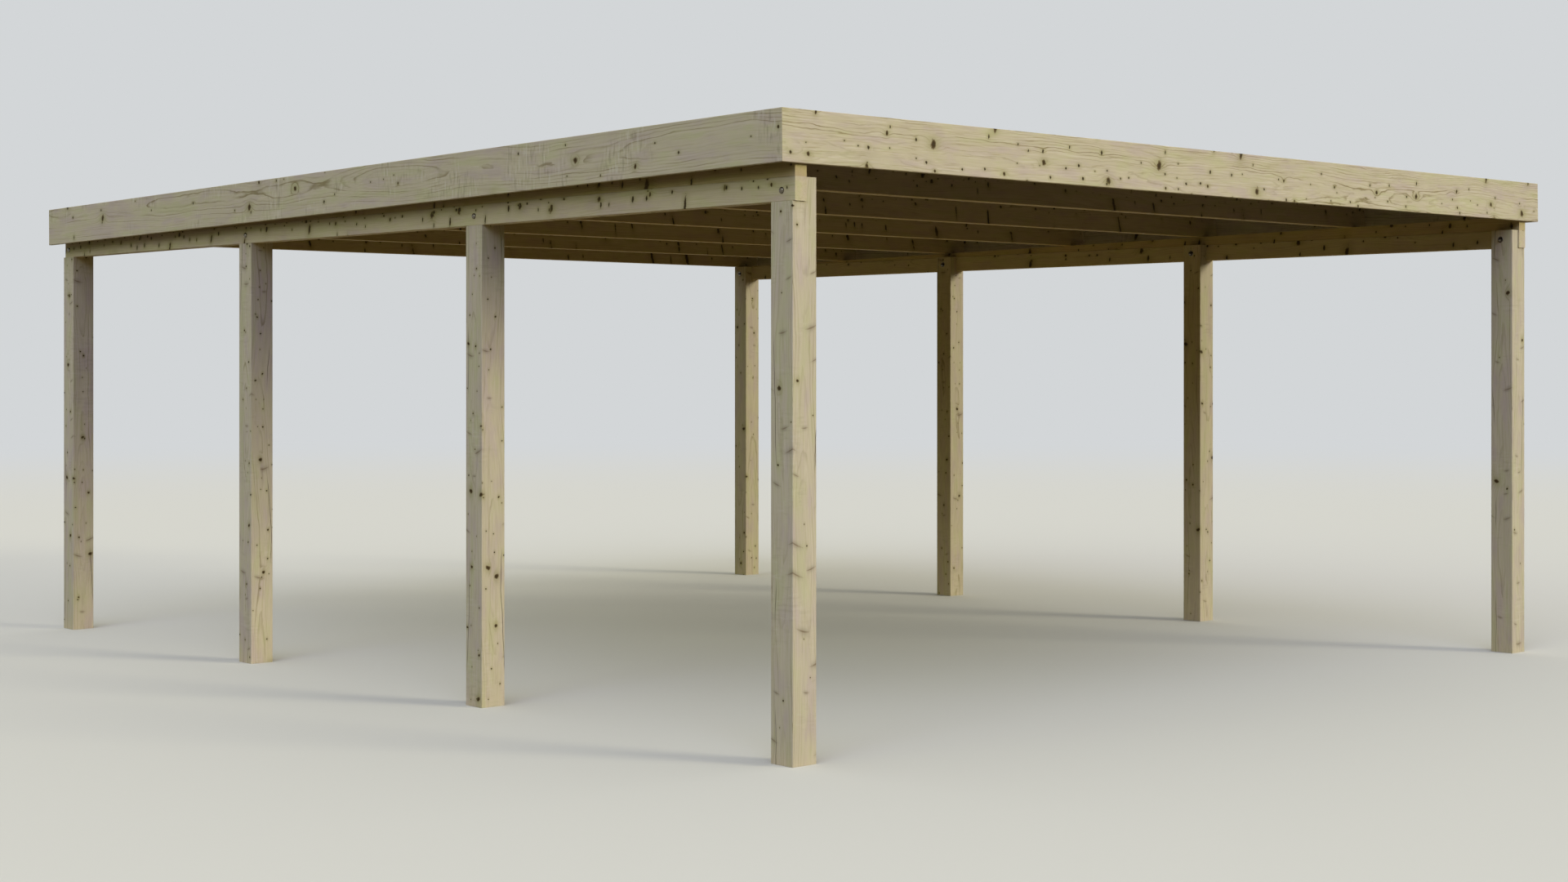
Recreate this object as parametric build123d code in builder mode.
"""Open timber carport for two cars.

Two rows of square posts are rebated at the top of their outer sides. A long beam lies in each row of
rebates, flush with the tongues that they leave, and carries a tapered firring that gives the roof its fall
to the back. Rafters cross from firring to firring, boards hide their ends and the front, and ribbed steel
sheets cover them.

X runs across the parking space, Y from front to back and Z up from the ground. The origin is on the
ground, in the middle of the plan.
"""
import os
from math import atan2, cos, degrees, sin, tan

from build123d import *

# Posts
post_size = 120.0
post_pitch = 1983.0
posts_in_row = 4
row_spacing = 4990.0

# Beams, which lie on the seats that the rebates cut
seat_height = 2080.0
beam_thickness = 58.0
beam_height = 90.0
beam_reveal = 6.0
beam_front_overhang = 7.0
beam_back_setback = 9.0

# Firrings, the tapered strips on the beams, which keep the rafters clear of the tongues at the back
firring_front_height = 70.0
firring_back_height = 2.0

# Rafters
rafter_thickness = 58.0
rafter_height = 120.0
rafter_count = 7
rafter_side_overhang = 58.0
rafter_front_overhang = 3.0
rafter_back_overhang = 16.0

# Fascia boards along the front and both sides
fascia_thickness = 21.0
fascia_height = 198.0
fascia_drop = 24.0

# Roof sheets, of ribbed steel
sheet_count = 5
ribs_per_sheet = 5
sheet_thickness = 0.7
rib_height = 35.0
rib_crown_width = 40.0
rib_flank_run = 24.0
lap_clearance = 0.3
lap_lip_drop = 10.0
sheet_edge_gap = 8.0
sheet_front_gap = 5.0

# Planed timber has its long edges eased
arris_radius = 3.0
cut_overrun = 10.0

# Heights and lengths that follow: the tongues end flush with the beams
post_height = seat_height + beam_height
rebate_depth = beam_reveal + beam_thickness
row_length = (posts_in_row - 1) * post_pitch + post_size
beam_length = beam_front_overhang + row_length - beam_back_setback
roof_run = rafter_front_overhang + beam_front_overhang + row_length + rafter_back_overhang
roof_inner_width = row_spacing + post_size + 2 * rafter_side_overhang
roof_outer_width = roof_inner_width + 2 * fascia_thickness

# The fall, and the roof's length down it
fall_angle = atan2(firring_front_height - firring_back_height, beam_length)
roof_length = roof_run / cos(fall_angle)
rafter_pitch = (roof_length - rafter_thickness) / (rafter_count - 1)

# The roof's front edge stands where the whole plan, with its leaning boards, is centred on the origin
front_reach = fascia_thickness * cos(fall_angle) + fascia_drop * sin(fall_angle)
back_reach = roof_run + (fascia_height - fascia_drop) * sin(fall_angle)
roof_front_y = (front_reach - back_reach) / 2
beam_front_y = roof_front_y + rafter_front_overhang
beam_x = (row_spacing + post_size - beam_thickness) / 2 - beam_reveal
first_post_y = beam_front_y + beam_front_overhang + post_size / 2

# The plane of the rafters' undersides: X across, Y down the fall, Z out of the roof
roof_front_z = post_height + firring_front_height + rafter_front_overhang * tan(fall_angle)
roof_plane = Plane(
    origin=(0, roof_front_y, roof_front_z),
    x_dir=(1, 0, 0),
    z_dir=(0, sin(fall_angle), cos(fall_angle)),
)

# Ribs of the sheets: the lap's rib is lifted over its neighbour's rib
flank_angle = atan2(rib_height, rib_flank_run)
rib_foot_width = rib_crown_width + 2 * rib_flank_run
lap_lift = sheet_thickness + lap_clearance
lap_spread = lap_lift * tan(flank_angle / 2)
lap_lip_run = lap_lip_drop * rib_flank_run / rib_height
lap_reach = rib_crown_width / 2 + lap_spread + lap_lip_run + sheet_thickness
first_rib_x = sheet_edge_gap + lap_reach - roof_inner_width / 2
sheet_cover = (roof_inner_width / 2 - sheet_edge_gap - rib_crown_width / 2 - first_rib_x) / sheet_count
rib_pitch = sheet_cover / ribs_per_sheet
sheet_length = roof_length - sheet_front_gap


def make_post(node, side, y):
    """A square post whose outer side is cut back at the top, which leaves a seat and an upright tongue."""
    x = side * row_spacing / 2
    rebate_x = x + side * (post_size - rebate_depth + cut_overrun) / 2
    with BuildPart() as post:
        with BuildSketch(Plane((x, y, 0))):
            RectangleRounded(post_size, post_size, arris_radius)
        extrude(amount=post_height)
        with BuildSketch(Plane((rebate_x, y, seat_height))):
            Rectangle(rebate_depth + cut_overrun, post_size + cut_overrun)
        extrude(amount=post_height, mode=Mode.SUBTRACT)
    post.part.label = node
    export_step(post.part, f"parts/{node}.step")


def make_beam(node, side):
    """A long beam that lies on a row of seats."""
    section_plane = Plane(
        origin=(side * beam_x, beam_front_y, seat_height + beam_height / 2),
        x_dir=(1, 0, 0),
        z_dir=(0, -1, 0),
    )
    with BuildPart() as beam:
        with BuildSketch(section_plane):
            RectangleRounded(beam_thickness, beam_height, arris_radius)
        extrude(amount=-beam_length)
    beam.part.label = node
    export_step(beam.part, f"parts/{node}.step")


def make_firring(node, side):
    """A strip as wide as its beam, sawn to a long taper, so its edges are sharp."""
    front_foot = Plane(origin=(side * beam_x, beam_front_y, post_height), x_dir=(0, 1, 0), z_dir=(1, 0, 0))
    with BuildPart() as firring:
        with BuildSketch(front_foot):
            with BuildLine():
                Polyline(
                    (0, 0),
                    (beam_length, 0),
                    (beam_length, firring_back_height),
                    (0, firring_front_height),
                    close=True,
                )
            make_face()
        extrude(amount=beam_thickness / 2, both=True)
    firring.part.label = node
    export_step(firring.part, f"parts/{node}.step")


def make_rafter(node, down_roof):
    """A rafter that stands on both firrings, square to the fall."""
    section_plane = Plane(
        origin=roof_plane.from_local_coords((0, down_roof + rafter_thickness / 2, rafter_height / 2)),
        x_dir=roof_plane.y_dir,
        z_dir=roof_plane.x_dir,
    )
    with BuildPart() as rafter:
        with BuildSketch(section_plane):
            RectangleRounded(rafter_thickness, rafter_height, arris_radius)
        extrude(amount=roof_inner_width / 2, both=True)
    rafter.part.label = node
    export_step(rafter.part, f"parts/{node}.step")


def make_fascia(node, plan_outline):
    """A board on edge, from its outline in the roof's plan, with mitres at the front corners."""
    with BuildPart() as board:
        with BuildSketch(roof_plane.offset(-fascia_drop)):
            with BuildLine():
                Polyline(*plan_outline, close=True)
            make_face()
        extrude(amount=fascia_height)
        fillet(board.edges().sort_by(SortBy.LENGTH)[-4:], radius=arris_radius)
    board.part.label = node
    export_step(board.part, f"parts/{node}.step")


def sheet_underside():
    """Section of a sheet's underside, from its lifted lap over the ribs to the crown that the next laps."""
    points = [
        (-rib_crown_width / 2 - lap_spread - lap_lip_run, rib_height + lap_lift - lap_lip_drop),
        (-rib_crown_width / 2 - lap_spread, rib_height + lap_lift),
        (rib_crown_width / 2 + lap_spread, rib_height + lap_lift),
        (rib_foot_width / 2, 0),
    ]
    for rib in range(1, ribs_per_sheet + 1):
        rib_x = rib * rib_pitch
        points.append((rib_x - rib_foot_width / 2, 0))
        points.append((rib_x - rib_crown_width / 2, rib_height))
        points.append((rib_x + rib_crown_width / 2, rib_height))
        if rib < ribs_per_sheet:
            points.append((rib_x + rib_foot_width / 2, 0))
    return points


def make_roof_sheet(node, rib_x):
    """A ribbed sheet that lies on the rafters, with its ribs along the fall."""
    section_plane = Plane(
        origin=roof_plane.from_local_coords((rib_x, sheet_front_gap, rafter_height)),
        x_dir=roof_plane.x_dir,
        z_dir=-roof_plane.y_dir,
    )
    with BuildPart() as sheet:
        with BuildSketch(section_plane):
            with BuildLine():
                Polyline(*sheet_underside())
                offset(amount=sheet_thickness, side=Side.LEFT, kind=Kind.INTERSECTION)
            make_face()
        extrude(amount=-sheet_length)
    sheet.part.label = node
    export_step(sheet.part, f"parts/{node}.step")


os.makedirs("parts", exist_ok=True)

sides = {"left": -1, "right": 1}
outer_x = roof_outer_width / 2
inner_x = roof_inner_width / 2

for side_name, side in sides.items():
    for place in range(posts_in_row):
        make_post(f"post_{side_name}_{place + 1}", side, first_post_y + place * post_pitch)
    make_beam(f"beam_{side_name}", side)
    make_firring(f"firring_{side_name}", side)
    side_outline = [
        (side * inner_x, 0),
        (side * outer_x, -fascia_thickness),
        (side * outer_x, roof_length),
        (side * inner_x, roof_length),
    ]
    make_fascia(f"fascia_{side_name}", side_outline)

front_outline = [
    (-outer_x, -fascia_thickness),
    (outer_x, -fascia_thickness),
    (inner_x, 0),
    (-inner_x, 0),
]
make_fascia("fascia_front", front_outline)

for place in range(rafter_count):
    make_rafter(f"rafter_{place + 1}", place * rafter_pitch)

for place in range(sheet_count):
    make_roof_sheet(f"roof_sheet_{place + 1}", first_rib_x + place * sheet_cover)

print(f"fall {degrees(fall_angle):.2f} degrees, rafter pitch {rafter_pitch:.0f}, rib pitch {rib_pitch:.1f}")
print(f"plan {roof_outer_width:.0f} by {front_reach + back_reach:.0f}, posts {post_height:.0f} high")
